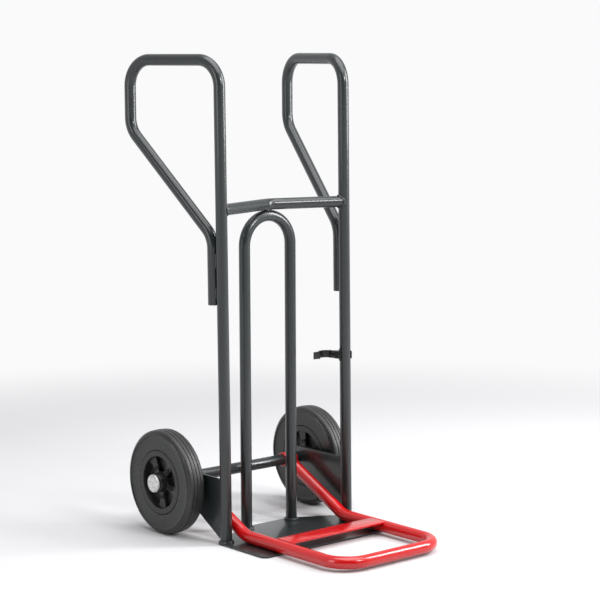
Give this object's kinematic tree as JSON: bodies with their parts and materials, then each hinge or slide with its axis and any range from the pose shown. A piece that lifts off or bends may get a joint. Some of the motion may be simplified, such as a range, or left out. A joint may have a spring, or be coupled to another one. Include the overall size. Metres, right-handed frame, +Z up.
{
  "type": "hand truck",
  "caption": "Tube-framed hand truck with loop handles, a centre hoop, solid-tyred wheels, a fixed toe plate and a folding toe frame that clips to an upright.",
  "frame": {"origin": "on the floor, on the underside of the toe plate, midway between the feet of the uprights", "axes": "+X across the truck to the left of a person who pushes it, +Y back towards the handles and wheels, +Z up"},
  "size_m": [0.5334, 0.6945, 1.1345],
  "materials": {
    "frame_paint": "semi-gloss powder coat",
    "toe_paint": "glossy powder coat",
    "bright_steel": "zinc plated",
    "tyre_rubber": "satin rubber",
    "rim_plastic": "moulded, satin",
    "cage_plastic": "moulded nylon",
    "clip_plastic": "moulded, satin"
  },
  "bodies": {
    "truck_frame": {"left_side_tube": "frame_paint", "right_side_tube": "frame_paint", "upper_crossbar": "frame_paint", "centre_hoop": "frame_paint", "toe_plate": "frame_paint", "left_side_plate": "frame_paint", "right_side_plate": "frame_paint", "axle_tube": "frame_paint", "axle_rod": "bright_steel", "frame_welds": "frame_paint", "left_inner_washer": "bright_steel", "right_inner_washer": "bright_steel", "left_outer_washer": "bright_steel", "right_outer_washer": "bright_steel", "left_hub_cap": "bright_steel", "right_hub_cap": "bright_steel", "clip_jaw": "clip_plastic", "clip_band": "clip_plastic"},
    "left_wheel": {"left_tyre": "tyre_rubber", "left_rim": "rim_plastic", "left_bearing_cage": "cage_plastic", "left_bearing_rollers": "bright_steel"},
    "right_wheel": {"right_tyre": "tyre_rubber", "right_rim": "rim_plastic", "right_bearing_cage": "cage_plastic", "right_bearing_rollers": "bright_steel"},
    "toe_frame": {"toe_frame_tube": "toe_paint", "toe_frame_crossbar": "toe_paint", "toe_frame_welds": "toe_paint", "left_pivot_sleeve": "toe_paint", "right_pivot_sleeve": "toe_paint"}
  },
  "joints": [
    {"name": "left_wheel_spin", "type": "hinge", "parent": "truck_frame", "child": "left_wheel", "pos_m": [0.225, 0.182, 0.125], "axis": [1, 0, 0], "continuous": true},
    {"name": "right_wheel_spin", "type": "hinge", "parent": "truck_frame", "child": "right_wheel", "pos_m": [-0.225, 0.182, 0.125], "axis": [1, 0, 0], "continuous": true},
    {"name": "toe_frame_fold", "type": "hinge", "parent": "truck_frame", "child": "toe_frame", "pos_m": [0, 0.182, 0.125], "axis": [-1, 0, 0], "range_deg": [0, 81.2]}
  ]
}
